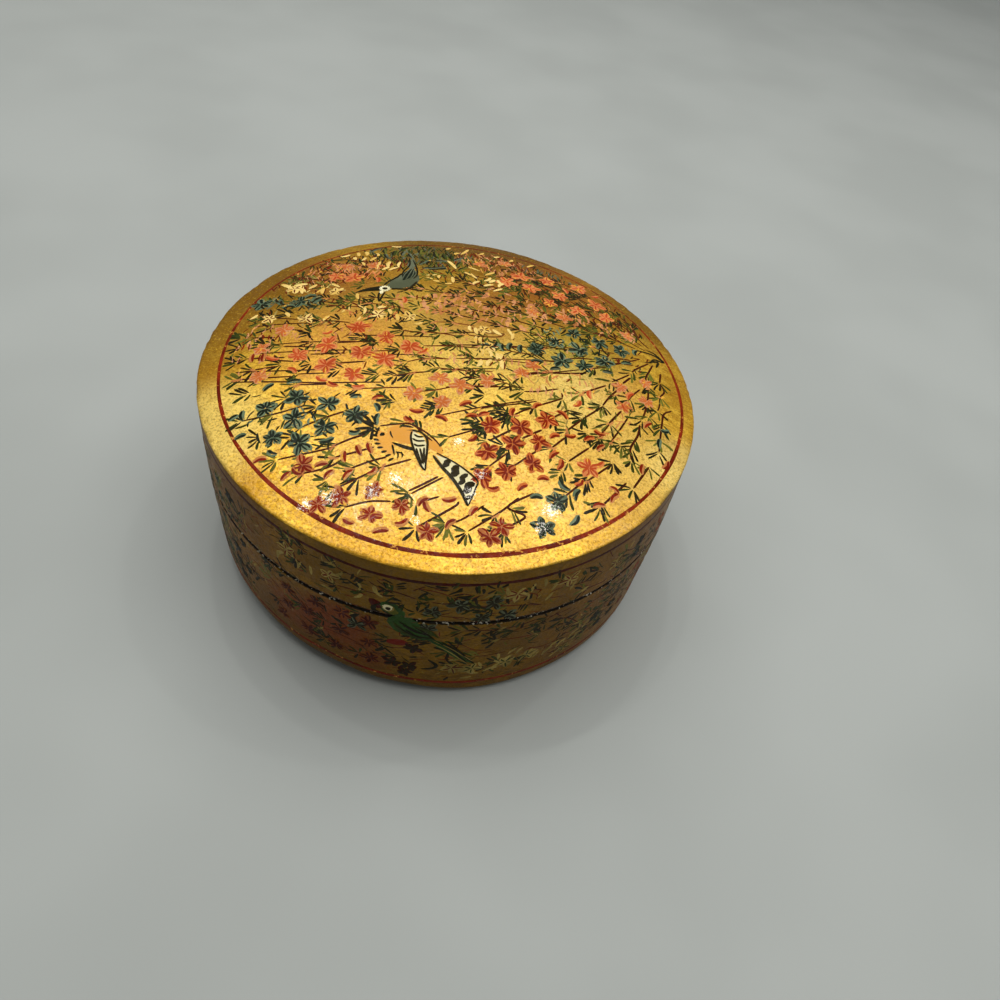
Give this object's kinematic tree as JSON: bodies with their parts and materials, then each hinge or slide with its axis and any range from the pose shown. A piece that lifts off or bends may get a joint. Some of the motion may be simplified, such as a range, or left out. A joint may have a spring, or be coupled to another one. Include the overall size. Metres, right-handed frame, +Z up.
{
  "type": "papier-mache box",
  "caption": "Round papier-mache box with a domed slip lid, gilt ground and a painted flower and bird pattern under lacquer.",
  "frame": {"origin": "centre of the foot, on the plane the box rests on", "axes": "+Z up along the axis of the round box; +X to the right and +Y away in the front view; the shape is round, so X and Y are set by the painted pattern"},
  "size_m": [0.127, 0.127, 0.0615],
  "materials": {
    "gilt_crown": "bronze-powder gold ground with painted ornament under clear lacquer",
    "gilt_wall": "bronze-powder gold ground with painted ornament under clear lacquer",
    "black_lacquer": "plain black lacquer over pasted paper"
  },
  "bodies": {
    "base": {"base_wall": "gilt_wall", "base_floor": "black_lacquer", "collar": "black_lacquer"},
    "lid": {"lid_wall": "gilt_wall", "lid_crown": "gilt_crown"}
  },
  "joints": [
    {"name": "lid_lift", "type": "slide", "parent": "base", "child": "lid", "axis": [0, 0, 1], "range_m": [0, 0.05]}
  ]
}
